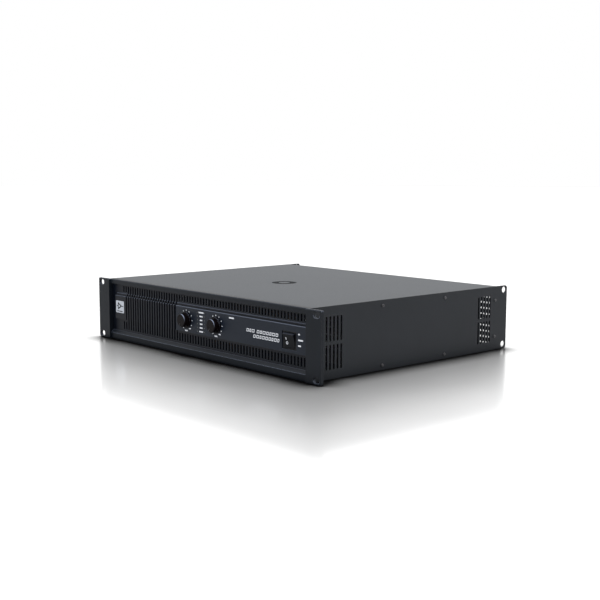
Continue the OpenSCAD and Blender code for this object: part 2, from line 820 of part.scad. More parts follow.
module mains_inlet() color("#1b1c1d") from_face() translate([inlet_x, 0, row_z[0]]) {
    difference() {
        union() {
            in_xz(rear_y, 2.2) round_rect(31, 24, 2);
            in_xz(rear_y - 20, 20) square(inlet_size, center = true);
        }
        in_xz(rear_y - 15, 30) inlet_cup();
    }
    for (p = [[-7, 2], [7, 2], [0, -2.5]])
        block([p[0] - 1, rear_y - 26, p[1] - 2], [p[0] + 1, rear_y - 1, p[1] + 2]);
}

module breaker_body() color("#222324") from_face() translate([inlet_x, 0, row_z[1]]) difference() {
    union() {
        bar_y(rear_y - sheet - 1, sheet + 5, breaker_r);
        translate([0, rear_y + 2.6, 0]) rotate([90, 0, 0]) cylinder(h = 2.6, r = 8.6, $fn = 6);
        block([-7, rear_y - sheet - 26, -15], [7, rear_y - sheet, 15]);
    }
    bar_y(rear_y - 14, 30, button_r + run);
}

// The button is in at rest and comes out when the breaker trips
module breaker_button() color("#c9ccce") from_face() translate([inlet_x, 0, row_z[1]]) difference() {
    bar_y(rear_y - 10, 17, button_r);
    bar_y(rear_y + 6.5, 2, button_r - 1);
}

// Bodies of the two slide switches, behind the rear panel
module switch_body(travel) difference() {
    block([-lever[0] / 2 - 3, rear_y - sheet - 9, -travel / 2 - lever[1] / 2 - 4],
          [lever[0] / 2 + 3, rear_y - sheet, travel / 2 + lever[1] / 2 + 4]);
    block([-lever[0] / 2 - run, rear_y - sheet - 6, -travel / 2 - lever[1] / 2 - 0.3],
          [lever[0] / 2 + run, rear_y, travel / 2 + lever[1] / 2 + 0.3]);
}

module slide_switches() color("#2a2c2e") from_face() {
    translate([switch_x, 0, row_z[1]]) switch_body(mode_travel);
    translate([switch_x, 0, row_z[0]]) switch_body(lift_travel);
}

// A lever at the low end of its travel
module slide_lever(z, travel) color("#d9dbdd") from_face() translate([switch_x, 0, z - travel / 2])
    block([-lever[0] / 2, rear_y - sheet - 5.9, -lever[1] / 2], [lever[0] / 2, rear_y + 2.5, lever[1] / 2]);
module mode_lever() slide_lever(row_z[1], mode_travel);
module lift_lever() slide_lever(row_z[0], lift_travel);

module input_board() color("#2d5a3c") from_face() {
    block([30, barrel_y - pcb, 10], [92, barrel_y, 78]);
    block([34, barrel_y - pcb - plug_d, 60], [58, barrel_y - pcb, 66]);
}

// ---- Wiring ----

// Flat cable from the input board round the transformer to the front board
module signal_ribbon() color("#9aa0a6") from_face() translate([0, 0, 61]) linear_extrude(8) {
    t = 1;
    start_y = setback + board_y + pcb + plug_d;
    turn_y = start_y + 3;
    translate([-86, barrel_y - pcb - plug_d - t]) square([140, t]);
    translate([-86, turn_y]) square([t, barrel_y - pcb - plug_d - turn_y]);
    translate([-86, turn_y]) square([48, t]);
    translate([-39, start_y]) square([t, turn_y - start_y + t]);
}

// A wire through points, with round elbows
module wire(path, r) for (i = [0 : len(path) - 2]) {
    span = path[i + 1] - path[i];
    translate(path[i]) rotate([0, acos(span[2] / norm(span)), atan2(span[1], span[0])])
        cylinder(h = norm(span), r = r);
    if (i > 0) translate(path[i]) sphere(r);
}

// Mains leads: inlet to breaker, breaker to power switch, and switch to transformer
module mains_wiring() color("#7a3b22") from_face() {
    front_y = setback + step_y + housing_d + terminal[1] + lead_r;
    wire([[inlet_x - 7, rear_y - 27.5, 27], [inlet_x - 7, 320, 27], [inlet_x - 7, 320, 55],
          [inlet_x - 7, rear_y - sheet - 27.6, 55]], lead_r);
    wire([[inlet_x, rear_y - 27.5, 22], [inlet_x, 321, 22], [inlet_x, 321, 5], [84, 321, 5],
          [84, front_y, 5], [rocker_x, front_y, 5], [rocker_x - 6, front_y, 41]], lead_r);
}

// ---- Every node ----

front_panel();
front_grille();
control_plate();
badge();
led_lamps();
gain_knob_a();
gain_knob_b();
gain_shaft_a();
gain_shaft_b();
gain_pots();
front_board();
power_rocker();
rocker_housing();
side_panel_left();
side_panel_right();
top_cover();
bottom_plate();
rear_panel();
case_screws();
top_emblem();
transformer();
transformer_pads();
transformer_clamp();
transformer_stud();
supply_board();
board_standoffs();
reservoir_capacitors();
bridge_rectifiers();
output_relays();
heat_sink_left();
heat_sink_right();
output_transistors_left();
output_transistors_right();
amp_board_left();
amp_board_right();
fan_frame_left();
fan_frame_right();
fan_impeller_left();
fan_impeller_right();
fan_guards();
rear_screws();
input_sockets();
latch_tab_a();
latch_tab_b();
link_sockets();
speaker_sockets();
binding_posts();
post_nut_a_pos();
post_nut_a_neg();
post_nut_b_pos();
post_nut_b_neg();
mains_inlet();
breaker_body();
breaker_button();
slide_switches();
mode_lever();
lift_lever();
input_board();
signal_ribbon();
mains_wiring();
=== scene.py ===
"""Looks of a two-unit rack power amplifier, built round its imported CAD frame.

Metres, in the frame's own axes: X across the rack, Y from front to rear, Z up.
"""

import json
import math

import bmesh
import bpy
from mathutils import Matrix, Vector


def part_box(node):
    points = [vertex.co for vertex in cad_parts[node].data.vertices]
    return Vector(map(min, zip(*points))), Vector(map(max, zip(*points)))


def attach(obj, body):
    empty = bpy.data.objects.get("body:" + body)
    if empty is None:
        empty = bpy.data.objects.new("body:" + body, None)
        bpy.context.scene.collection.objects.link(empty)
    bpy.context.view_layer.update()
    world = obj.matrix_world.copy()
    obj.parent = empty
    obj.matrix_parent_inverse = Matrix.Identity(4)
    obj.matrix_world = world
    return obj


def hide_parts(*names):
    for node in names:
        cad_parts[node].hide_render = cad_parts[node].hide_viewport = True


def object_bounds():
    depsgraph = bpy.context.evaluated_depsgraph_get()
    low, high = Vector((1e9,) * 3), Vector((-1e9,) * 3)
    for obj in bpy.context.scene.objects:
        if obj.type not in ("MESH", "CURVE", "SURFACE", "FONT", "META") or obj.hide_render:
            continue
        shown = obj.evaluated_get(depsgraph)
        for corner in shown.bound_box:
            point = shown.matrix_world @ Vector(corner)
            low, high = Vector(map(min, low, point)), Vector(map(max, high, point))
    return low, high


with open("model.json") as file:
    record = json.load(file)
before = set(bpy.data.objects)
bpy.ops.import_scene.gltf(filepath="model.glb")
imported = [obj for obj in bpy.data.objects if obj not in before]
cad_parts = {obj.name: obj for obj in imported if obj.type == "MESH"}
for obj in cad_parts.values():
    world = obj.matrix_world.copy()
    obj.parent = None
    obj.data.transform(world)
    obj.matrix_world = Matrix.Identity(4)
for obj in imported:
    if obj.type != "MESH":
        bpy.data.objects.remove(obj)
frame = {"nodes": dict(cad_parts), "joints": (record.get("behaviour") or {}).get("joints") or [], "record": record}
cad_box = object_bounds()
record = frame["record"]
slot_of = {s["node"]: s["material_slot"] for s in record["subparts"]}
joint_at = {j["name"]: Vector(j["pos_m"]) for j in frame["joints"] if "pos_m" in j}

MM = 0.001
INK = 0.00004  # thickness of printed marks
FACE_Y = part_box("front_panel")[0].y  # front face of the rack ears
BACK_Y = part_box("rear_panel")[1].y  # outer face of the rear panel
LAMP_R = 1.5  # mm, flange of a lamp behind the plate
LAMP_ROWS = 6
LENS_R = 0.9  # mm
BLOCK_H, BLOCK_GAP, BLOCK_STROKE, BLOCK_LEAN = 4.0, 1.4, 0.9, 0.22  # mm, lean across per up
LEGEND_H = 1.7  # mm, height of most printed bars
REAR_FRAME_H = 76  # mm, height of the frames printed round the connectors
LEVER_STEP = 3  # mm between the marks beside a slide lever

# ---- Camera, light and floor ----

AZIMUTH, ELEVATION, ROLL = 48.1, 7.24, 0.15  # degrees
DISTANCE = 1.518
TARGET = Vector((-0.0188, FACE_Y + 0.2, 0.0589))
LENS, SENSOR = 62.72, 36.0  # mm
SKY = 0.95  # strength of the studio's light at the horizon
SKY_TILT = (0.10, 0.16, 1.3)  # how much stronger it is to the right, behind and overhead


def add_camera():
    azimuth, elevation = math.radians(AZIMUTH), math.radians(ELEVATION)
    back = Vector((
        math.sin(azimuth) * math.cos(elevation),
        -math.cos(azimuth) * math.cos(elevation),
        math.sin(elevation),
    ))
    data = bpy.data.cameras.new("camera")
    data.lens, data.sensor_width = LENS, SENSOR
    data.clip_start, data.clip_end = 0.05, 60
    camera = bpy.data.objects.new("camera", data)
    bpy.context.scene.collection.objects.link(camera)
    turn = back.to_track_quat("Z", "Y").to_matrix().to_4x4()
    roll = Matrix.Rotation(math.radians(ROLL), 4, "Z")
    camera.matrix_world = Matrix.Translation(TARGET + DISTANCE * back) @ turn @ roll
    bpy.context.scene.camera = camera


def add_studio():
    """A white room lit by a broad soft ceiling, a little darker on the camera's side."""
    scene = bpy.context.scene
    scene.view_settings.view_transform = "Standard"
    world = bpy.data.worlds.new("studio")
    scene.world = world
    world.use_nodes = True
    tree = world.node_tree
    background = tree.nodes["Background"]
    path = tree.nodes.new("ShaderNodeLightPath")
    seen = tree.nodes.new("ShaderNodeMix")
    seen.data_type = "FLOAT"
    seen.inputs["B"].default_value = 1.0
    direction = tree.nodes.new("ShaderNodeTexCoord").outputs["Generated"]
    slope = tree.nodes.new("ShaderNodeVectorMath")
    slope.operation = "DOT_PRODUCT"
    slope.inputs[1].default_value = SKY_TILT
    glow = tree.nodes.new("ShaderNodeMath")
    glow.operation = "ADD"
    glow.inputs[1].default_value = SKY
    tree.links.new(direction, slope.inputs[0])
    tree.links.new(slope.outputs["Value"], glow.inputs[0])
    tree.links.new(glow.outputs[0], seen.inputs["A"])
    tree.links.new(path.outputs["Is Camera Ray"], seen.inputs["Factor"])
    tree.links.new(seen.outputs["Result"], background.inputs["Strength"])
    background.inputs["Color"].default_value = (1, 1, 1, 1)


def add_floor(look):
    bm = bmesh.new()
    bmesh.ops.create_circle(bm, cap_ends=True, segments=96, radius=12)
    mesh = bpy.data.meshes.new("floor")
    bm.to_mesh(mesh)
    bm.free()
    floor = bpy.data.objects.new("floor", mesh)
    floor.location.z = cad_box[0].z - 0.0002
    bpy.context.scene.collection.objects.link(floor)
    mesh.materials.append(look)


# ---- Materials ----

PAINTED_HIGHLIGHT = (0.12, 0.14, 0.19)  # colour of a painted highlight, where an edge would catch the light
WEAR_AND_SHEEN_EDGE, LIT_EDGE, RIM_EDGE = 0.5 * MM, 0.4 * MM, 1.0 * MM  # reach of the edge wear with its painted highlight, of the painted chamfer highlight and of the painted rim highlight
FLOOR_GREY = (0.52, 0.54)  # darkest and lightest
FILM_ROUGH = (0.31, 0.33)
GLOSS_ROUGH, GLOSS_SHARE, REFLECTION_SHARE = 0.10, 0.25, 0.76
CONTACT_REACH = 0.045  # metres over which the painted contact shadow darkens the floor towards the object
CONTACT_OPEN = (0.58, 0.98)  # openness at which the floor is darkest, and fully lit
CONTACT_LIGHT = (0.02, 1.0)  # the light left at each of them


class Look:
    """A procedural material: a Principled shader and short ways to feed it."""

    def __init__(self, name, **sockets):
        self.material = bpy.data.materials.new(name)
        self.material.use_nodes = True
        self.tree = self.material.node_tree
        self.shader = self.tree.nodes["Principled BSDF"]
        for socket, value in sockets.items():
            self.shader.inputs[socket.replace("_", " ")].default_value = value
        self.place = self.add("ShaderNodeTexCoord").outputs["Object"]

    def add(self, kind, **inputs):
        """A node of that kind; each input is a number, a colour or another node's socket."""
        node = self.tree.nodes.new(kind)
        for name, value in inputs.items():
            self.feed(node.inputs[name.replace("_", " ")], value)
        return node

    def feed(self, socket, value):
        if isinstance(value, bpy.types.NodeSocket):
            self.tree.links.new(value, socket)
        else:
            socket.default_value = value

    def stretched(self, stretch):
        """The object's own coordinates, scaled along each axis."""
        return self.add("ShaderNodeMapping", Vector=self.place, Scale=stretch).outputs["Vector"]

    def noise(self, scale, detail=3.0, stretch=None):
        where = self.place if stretch is None else self.stretched(stretch)
        return self.add("ShaderNodeTexNoise", Vector=where, Scale=scale, Detail=detail).outputs["Fac"]

    def spread(self, value, low, high, start=0.3, end=0.7):
        """A value that runs from start to end, as noise mostly does, made to run from low to high."""
        return self.add("ShaderNodeMapRange", Value=value, From_Min=start, From_Max=end,
                        To_Min=low, To_Max=high).outputs["Result"]

    def blend(self, factor, a, b, mode="MIX"):
        node = self.add("ShaderNodeMix")
        node.data_type, node.blend_type = "RGBA", mode
        self.feed(node.inputs["Factor"], factor)
        for socket, value in ((node.inputs[6], a), (node.inputs[7], b)):
            self.feed(socket, (*value, 1.0) if isinstance(value, tuple) and len(value) == 3 else value)
        return node.outputs[2]

    def math(self, operation, a, b=0.0):
        node = self.add("ShaderNodeMath")
        node.operation = operation
        self.feed(node.inputs[0], a)
        self.feed(node.inputs[1], b)
        return node.outputs[0]

    def edges(self, radius):
        """Near 1 where the surface turns a corner within radius, 0 on the flat."""
        bevel = self.add("ShaderNodeBevel", Radius=radius)
        bevel.samples = 4
        flat = self.add("ShaderNodeNewGeometry").outputs["Normal"]
        dot = self.add("ShaderNodeVectorMath")
        dot.operation = "DOT_PRODUCT"
        self.feed(dot.inputs[0], bevel.outputs["Normal"])
        self.feed(dot.inputs[1], flat)
        return self.math("SUBTRACT", 1.0, dot.outputs["Value"])

    def upturned(self, radius):
        """1 where an edge or chamfer leans halfway up to the sky, 0 on upright and level faces."""
        bevel = self.add("ShaderNodeBevel", Radius=radius)
        bevel.samples = 4
        up = self.add("ShaderNodeSeparateXYZ", Vector=bevel.outputs["Normal"]).outputs["Z"]
        rest = self.math("SUBTRACT", 1.0, self.math("MULTIPLY", up, up))
        return self.math("MULTIPLY", self.math("MULTIPLY", up, rest), 2.6)

    def facing(self, way):
        """How far the surface faces that way, from 0 to 1."""
        dot = self.add("ShaderNodeVectorMath")
        dot.operation = "DOT_PRODUCT"
        self.feed(dot.inputs[0], self.add("ShaderNodeNewGeometry").outputs["Normal"])
        dot.inputs[1].default_value = way
        return self.math("MAXIMUM", dot.outputs["Value"], 0.0)

    def painted_front_glint(self):
        """Mask of a painted glint: 1 where a rounded front edge looks up and to the right."""
        both = self.math("MULTIPLY", self.facing((0.6, 0, 0.8)), self.facing((0, -1, 0)))
        return self.math("POWER", self.math("MULTIPLY", both, 2.0), 5.0)

    def bump(self, height, strength, distance=0.0002):
        node = self.add("ShaderNodeBump", Height=height, Strength=strength, Distance=distance)
        before = self.shader.inputs["Normal"]
        if before.is_linked:
            self.feed(node.inputs["Normal"], before.links[0].from_socket)
        self.feed(before, node.outputs["Normal"])


def shade(colour, factor):
    return tuple(min(1.0, c * factor) for c in colour)


def surface(name, colour, roughness, mottle=0.12, grain=(1500, 0.12), uneven=0.06, wear_and_sheen=0.0,
            lit=0.0, rim=0.0, painted_glint=0.0, streak=None, **sockets):
    """Colour that drifts by mottle, roughness that drifts by uneven, and a fine grain in relief.
    grain is (cycles per metre, strength). streak stretches the noise along a brushed direction.
    The wear share lightens the edges by that amount, partly as wear and partly as a painted highlight; the chamfer
    share paints a highlight on the chamfers that face up, the rim share on the upper edges, and the glint share
    paints a glint on the part of a round front edge that looks up and to the right."""
    look = Look(name, **sockets)
    drift = look.blend(look.spread(look.noise(14), 0, 1),
                       shade(colour, 1 - mottle), shade(colour, 1 + mottle))
    fleck = look.noise(650, 2.0, streak)
    rough = look.spread(fleck, roughness - uneven, roughness + uneven)
    look.feed(look.shader.inputs["Roughness"], rough)
    tone = look.blend(look.spread(fleck, 0, 0.5), drift, shade(colour, 1 + 1.5 * mottle))
    # Edge wear with a painted highlight: edges turn paler, partly as rubbed paint and partly as the light they
    # would catch.
    if wear_and_sheen:
        patches = look.spread(look.noise(110), 0.3, 2.2)
        worn_and_sheen_edges = look.math("MULTIPLY", look.edges(WEAR_AND_SHEEN_EDGE), patches)
        share = look.math("MINIMUM", look.math("MULTIPLY", worn_and_sheen_edges, wear_and_sheen), 0.8)
        tone = look.blend(share, tone, tuple(0.25 + 0.5 * c for c in colour))
    # Painted highlight on chamfers that face up.
    if lit:
        share = look.math("MINIMUM", look.math("MULTIPLY", look.upturned(LIT_EDGE), lit), 1.0)
        tone = look.blend(look.math("MAXIMUM", share, 0.0), tone, PAINTED_HIGHLIGHT)
    # Painted highlight on upper edges.
    if rim:
        up = look.math("MAXIMUM", look.upturned(RIM_EDGE), 0.0)
        turn = look.math("MULTIPLY", look.edges(RIM_EDGE), up)
        share = look.math("MINIMUM", look.math("MULTIPLY", turn, rim), 1.0)
        tone = look.blend(share, tone, PAINTED_HIGHLIGHT)
    # Painted glint on round front edges, up and to the right, twice as bright as the other painted highlights.
    if painted_glint:
        share = look.math("MULTIPLY", look.painted_front_glint(), painted_glint)
        tone = look.blend(share, tone, shade(PAINTED_HIGHLIGHT, 2.0))
    look.feed(look.shader.inputs["Base Color"], tone)
    look.bump(look.noise(grain[0], 2.0, streak), grain[1])
    return look


def make_looks():
    """One material for each slot of the record, and a few that new pieces add."""
    paint = dict(grain=(1300, 0.10), uneven=0.05, mottle=0.10)
    plastic = dict(grain=(2600, 0.06), uneven=0.05, mottle=0.08)
    steel = dict(Metallic=1.0, grain=(900, 0.03), mottle=0.10)
    looks = {
        # Below, the chamfer, rim and glint shares paint highlights into the base colour, and the wear share
        # lightens the edges partly as a painted highlight.
        "fascia_paint": surface("fascia_paint", (0.0040, 0.0058, 0.0088), 0.45, wear_and_sheen=0.15, lit=0.03,
                                rim=14.0, Specular_IOR_Level=0.12, **paint),
        "plate_paint": surface("plate_paint", (0.0050, 0.0080, 0.0142), 0.42, wear_and_sheen=0.1, lit=0.6,
                               Specular_IOR_Level=0.14, **paint),
        "grille_plastic": surface("grille_plastic", (0.0018, 0.0031, 0.0064), 0.4, wear_and_sheen=0.1, lit=0.4,
                                  Specular_IOR_Level=0.12, **plastic),
        "side_paint": surface("side_paint", (0.0100, 0.0117, 0.0146), 0.5, wear_and_sheen=0.2,
                              Specular_IOR_Level=0.14, **paint),
        "top_paint": surface("top_paint", (0.0190, 0.0240, 0.0305), 0.52, wear_and_sheen=0.1,
                             Specular_IOR_Level=0.24, grain=(1300, 0.05), uneven=0.03, mottle=0.06),
        "rear_paint": surface("rear_paint", (0.019, 0.022, 0.027), 0.5, wear_and_sheen=0.3,
                              Specular_IOR_Level=0.25, **paint),
        "badge_white": surface("badge_white", (0.34, 0.37, 0.42), 0.35, mottle=0.03),
        "emblem_dark": surface("emblem_dark", (0.008, 0.009, 0.011), 0.75,
                               Specular_IOR_Level=0.05, **plastic),
        # The knob's glint is a painted highlight on its upper right rim.
        "knob_plastic": surface("knob_plastic", (0.0024, 0.0014, 0.0018), 0.32, painted_glint=1.0,
                                Specular_IOR_Level=0.06, **plastic),
        "rocker_gloss": surface("rocker_gloss", (0.0018, 0.0023, 0.0036), 0.45, mottle=0.05, lit=0.3,
                                grain=(700, 0.02), Specular_IOR_Level=0.08),
        "black_plastic": surface("black_plastic", (0.006, 0.006, 0.007), 0.45,
                                 Specular_IOR_Level=0.15, **plastic),
        "fan_plastic": surface("fan_plastic", (0.012, 0.012, 0.013), 0.5, **plastic),
        "epoxy_black": surface("epoxy_black", (0.016, 0.016, 0.018), 0.6, **plastic),
        "relay_case": surface("relay_case", (0.02, 0.07, 0.18), 0.3, mottle=0.05),
        "speaker_blue": surface("speaker_blue", (0.012, 0.035, 0.11), 0.38, **plastic),
        "post_red": surface("post_red", (0.42, 0.015, 0.015), 0.3, mottle=0.05, Coat_Weight=0.3),
        "post_black": surface("post_black", (0.012, 0.012, 0.013), 0.3, mottle=0.05, Coat_Weight=0.3),
        "button_white": surface("button_white", (0.62, 0.62, 0.6), 0.4, mottle=0.03),
        "pad_rubber": surface("pad_rubber", (0.018, 0.018, 0.018), 0.85, grain=(1800, 0.3)),
        "bright_steel": surface("bright_steel", (0.52, 0.54, 0.56), 0.34, **steel),
        "guard_wire": surface("guard_wire", (0.6, 0.61, 0.62), 0.25, **steel),
        "latch_metal": surface("latch_metal", (0.5, 0.51, 0.52), 0.3, **steel),
        "post_metal": surface("post_metal", (0.62, 0.55, 0.4), 0.25, **steel),
        "standoff_brass": surface("standoff_brass", (0.66, 0.5, 0.22), 0.3, **steel),
        "screw_black": surface("screw_black", (0.09, 0.09, 0.095), 0.38, **steel),
        "sink_aluminium": surface("sink_aluminium", (0.55, 0.56, 0.57), 0.42, Metallic=1.0,
                                  streak=(1, 0.03, 1), grain=(1500, 0.12)),
        "lamp_lens": surface("lamp_lens", (0.05, 0.06, 0.055), 0.15, mottle=0.05,
                             Transmission_Weight=0.3),
        "capacitor_sleeve": surface("capacitor_sleeve", (0.012, 0.02, 0.05), 0.3, mottle=0.05),
        "winding": surface("winding", (0.16, 0.075, 0.015), 0.35, mottle=0.2),
        "circuit_board": surface("circuit_board", (0.01, 0.07, 0.03), 0.35, mottle=0.2),
        "ribbon_grey": surface("ribbon_grey", (0.3, 0.31, 0.33), 0.5),
        "wire_brown": surface("wire_brown", (0.12, 0.045, 0.02), 0.4),
        "ink_white": surface("ink_white", (0.52, 0.54, 0.58), 0.6, mottle=0.06, uneven=0.03),
        "ink_faint": surface("ink_faint", (0.05, 0.05, 0.052), 0.6, mottle=0.06, uneven=0.03),
    }
    return {name: look.material for name, look in looks.items()}


def floor_look():
    """A white sheet under a satin film: it mirrors what stands on it, ever softer with distance.
    An occlusion term paints a contact shadow right beside the object, darker than the light alone would make it."""
    look = Look("floor_white", Specular_IOR_Level=0.0)
    dark, light = ((grey, grey, grey) for grey in FLOOR_GREY)
    look.feed(look.shader.inputs["Base Color"], look.blend(look.spread(look.noise(3), 0, 1), dark, light))
    film = look.add("ShaderNodeBsdfGlossy", Color=(1, 1, 1, 1))
    look.feed(film.inputs["Roughness"], look.spread(look.noise(7), *FILM_ROUGH))
    gloss = look.add("ShaderNodeBsdfGlossy", Color=(1, 1, 1, 1), Roughness=GLOSS_ROUGH)
    painted_shadow = look.add("ShaderNodeBsdfDiffuse", Color=(0, 0, 0, 1))
    near = look.add("ShaderNodeAmbientOcclusion", Distance=CONTACT_REACH).outputs["AO"]

    def mix(share, first, second):
        node = look.add("ShaderNodeMixShader", Fac=share)
        look.feed(node.inputs[1], first)
        look.feed(node.inputs[2], second)
        return node.outputs["Shader"]

    reflection = mix(GLOSS_SHARE, film.outputs["BSDF"], gloss.outputs["BSDF"])
    floor = mix(REFLECTION_SHARE, look.shader.outputs["BSDF"], reflection)
    # Painted contact shadow: black mixed in where the object hems the floor in.
    whole = mix(look.spread(near, *CONTACT_LIGHT, *CONTACT_OPEN), painted_shadow.outputs["BSDF"], floor)
    look.feed(look.tree.nodes["Material Output"].inputs["Surface"], whole)
    return look.material


# ---- Softened CAD nodes ----

BEVEL = 0.25  # mm
BEVELS = {  # mm, where a node's differs
    "front_panel": 0.35, "front_grille": 0.2, "rear_panel": 0.2, "top_cover": 0.35,
    "side_panel_left": 0.3, "side_panel_right": 0.3, "bottom_plate": 0.3,
}
OWN_LOOK = {"case_screws": "screw_black"}  # steel, their slot's look, is brighter than in the photo


def dress_cad():
    """Gives each CAD node its material, and edges that catch the light."""
    for name, node in frame["nodes"].items():
        node.data.materials.clear()
        node.data.materials.append(LOOKS[OWN_LOOK.get(name, slot_of[name])])
        weld = node.modifiers.new("weld", "WELD")
        weld.merge_threshold = 0.00001
        flat = node.modifiers.new("flat", "DECIMATE")
        flat.decimate_type = "DISSOLVE"
        flat.angle_limit = math.radians(0.5)
        bevel = node.modifiers.new("bevel", "BEVEL")
        bevel.width = BEVELS.get(name, BEVEL) * MM
        bevel.segments = 2
        bevel.limit_method = "ANGLE"
        bevel.angle_limit = math.radians(40)
        normals = node.modifiers.new("normals", "WEIGHTED_NORMAL")
        normals.weight = 100


# ---- Mesh tools ----


def piece(name, bm, body, look, smooth=True):
    """A new object from bm, finished in that look, riding on that body."""
    bmesh.ops.recalc_face_normals(bm, faces=bm.faces)
    mesh = bpy.data.meshes.new(name)
    bm.to_mesh(mesh)
    bm.free()
    if smooth:
        mesh.shade_smooth()
        mesh.set_sharp_from_angle(angle=math.radians(35))
    mesh.materials.append(LOOKS[look])
    made = bpy.data.objects.new(name, mesh)
    bpy.context.scene.collection.objects.link(made)
    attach(made, body)
    return made


def circle(centre, radius, sides=20):
    x, z = centre
    turn = 2 * math.pi / sides
    return [(x + radius * math.sin(i * turn), z + radius * math.cos(i * turn)) for i in range(sides)]


def bar(centre, size, radius=None, lean=0.0):
    """Outline of a bar with rounded corners; lean shifts its top to the right."""
    (x, z), (w, h) = centre, (size[0] / 2, size[1] / 2)
    r = min(w, h) * 0.35 if radius is None else radius
    points = []
    for cx, cz, start in ((w - r, h - r, 0), (w - r, r - h, 90), (r - w, r - h, 180), (r - w, h - r, 270)):
        for step in range(4):
            a = math.radians(start + step * 30)
            px, pz = cx + r * math.sin(a), cz + r * math.cos(a)
            points.append((x + px + lean * pz, z + pz))
    return points


def print_mark(bm, outline, y, towards, hole=None, to_frame=None):
    """A printed mark: a thin closed plate on the surface at y. towards is -1 if it faces the front.
    Coordinates are in millimetres across and up; to_frame turns a point of the surface into the frame."""
    place = to_frame or (lambda p: p)
    levels = []
    for depth in (0.0, towards * INK):
        loops = [outline] if hole is None else [outline, hole]
        levels.append([
            [bm.verts.new(place(Vector((x * MM, y + depth, z * MM)))) for x, z in loop]
            for loop in loops
        ])
    low, high = levels
    count = len(outline)
    for k in range(count):
        n = (k + 1) % count
        bm.faces.new((low[0][k], low[0][n], high[0][n], high[0][k]))
        if hole is not None:
            bm.faces.new((low[1][k], low[1][n], high[1][n], high[1][k]))
            for level in levels:
                bm.faces.new((level[0][k], level[0][n], level[1][n], level[1][k]))
    if hole is None:
        for level in levels:
            bm.faces.new(level[0])


# ---- Front legends ----


def middle(node):
    """The middle of a node at rest, in millimetres."""
    low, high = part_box(node)
    return (low + high) / 2 / MM


def knob_scale(bm, centre, y):
    """Ten dots round a knob, and two bars for its end stops."""
    x, z = centre
    for i in range(10):
        a = math.radians(-150 + 30 * i)
        print_mark(bm, circle((x + 13 * math.sin(a), z + 13 * math.cos(a)), 0.8), y, -1)
    print_mark(bm, bar((x + 7.7, z - 11.2), (4.2, 1.5)), y, -1)
    print_mark(bm, bar((x, z - 14.4), (6.2, LEGEND_H)), y, -1)


def slanted_blocks(bm, x, z, widths, y):
    """A decorative row of leaning blocks from x to the right."""
    for width in widths:
        centre = (x + width / 2, z)
        inner = (width - 2 * BLOCK_STROKE, BLOCK_H - 2 * BLOCK_STROKE)
        print_mark(bm, bar(centre, (width, BLOCK_H), 0.6, BLOCK_LEAN), y, -1,
                   bar(centre, inner, 0.2, BLOCK_LEAN))
        x += width + BLOCK_GAP


def front_legends():
    """White prints on the control plate, all placed from the knobs, lamps and rocker."""
    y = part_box("control_plate")[0].y
    bm = bmesh.new()
    for node in ("gain_knob_a", "gain_knob_b"):
        knob = middle(node)
        knob_scale(bm, (knob.x, knob.z), y)
    low, high = (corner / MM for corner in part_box("led_lamps"))
    column, base, top = (low.x + high.x) / 2, low.z + LAMP_R, high.z - LAMP_R
    for i, width in enumerate((8.4, 6.0, 5.6, 5.2, 6.8, 10.6)):
        print_mark(bm, bar((column, base + i * (top - base) / (LAMP_ROWS - 1)), (width, LEGEND_H)), y, -1)
    print_mark(bm, bar((middle("gain_knob_b").x + 32.4, top), (10, LEGEND_H)), y, -1)
    rocker = middle("power_rocker")
    slanted_blocks(bm, rocker.x - 80, rocker.z + 3.7, (4.4, 3.0, 5.2), y)
    slanted_blocks(bm, rocker.x - 60, rocker.z + 3.7, (4.6, 3.8, 5.4, 4.6, 3.4, 5.4, 4.4), y)
    slanted_blocks(bm, rocker.x - 66.8, rocker.z - 2.6, (4.4, 5.0, 3.0, 5.2, 4.6, 4.2, 3.2, 4.8, 3.4), y)
    for right, up, width in ((17.7, 9.3, 2.8), (20.5, 2.4, 8.6), (18.6, -4.4, 5.2)):
        print_mark(bm, bar((rocker.x + right, rocker.z + up), (width, 1.8)), y, -1)
    piece("front_legends", bm, "chassis", "ink_white", smooth=False)


def lamp_lenses():
    """A clear dome on each of the twelve lamps, standing just proud of the plate."""
    low, high = (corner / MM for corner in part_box("led_lamps"))
    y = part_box("control_plate")[0].y / MM
    sides, steps, rise, sunk = 16, 5, LENS_R * 0.8, 0.09
    bm = bmesh.new()
    for x in (low.x + LAMP_R, high.x - LAMP_R):
        for i in range(LAMP_ROWS):
            z = low.z + LAMP_R + i * (high.z - low.z - 2 * LAMP_R) / (LAMP_ROWS - 1)
            rings = []
            for k in range(steps):
                a = math.radians(90 * k / steps)
                rings.append([bm.verts.new((px * MM, (y - rise * math.sin(a)) * MM, pz * MM))
                              for px, pz in circle((x, z), LENS_R * math.cos(a), sides)])
            foot = [bm.verts.new((v.co.x, (y + sunk) * MM, v.co.z)) for v in rings[0]]
            tip = bm.verts.new((x * MM, (y - rise) * MM, z * MM))
            bm.faces.new(foot)
            for k in range(sides):
                n = (k + 1) % sides
                for lower, upper in zip([foot] + rings, rings):
                    bm.faces.new((lower[k], lower[n], upper[n], upper[k]))
                bm.faces.new((rings[-1][k], rings[-1][n], tip))
    piece("lamp_lenses", bm, "chassis", "lamp_lens")


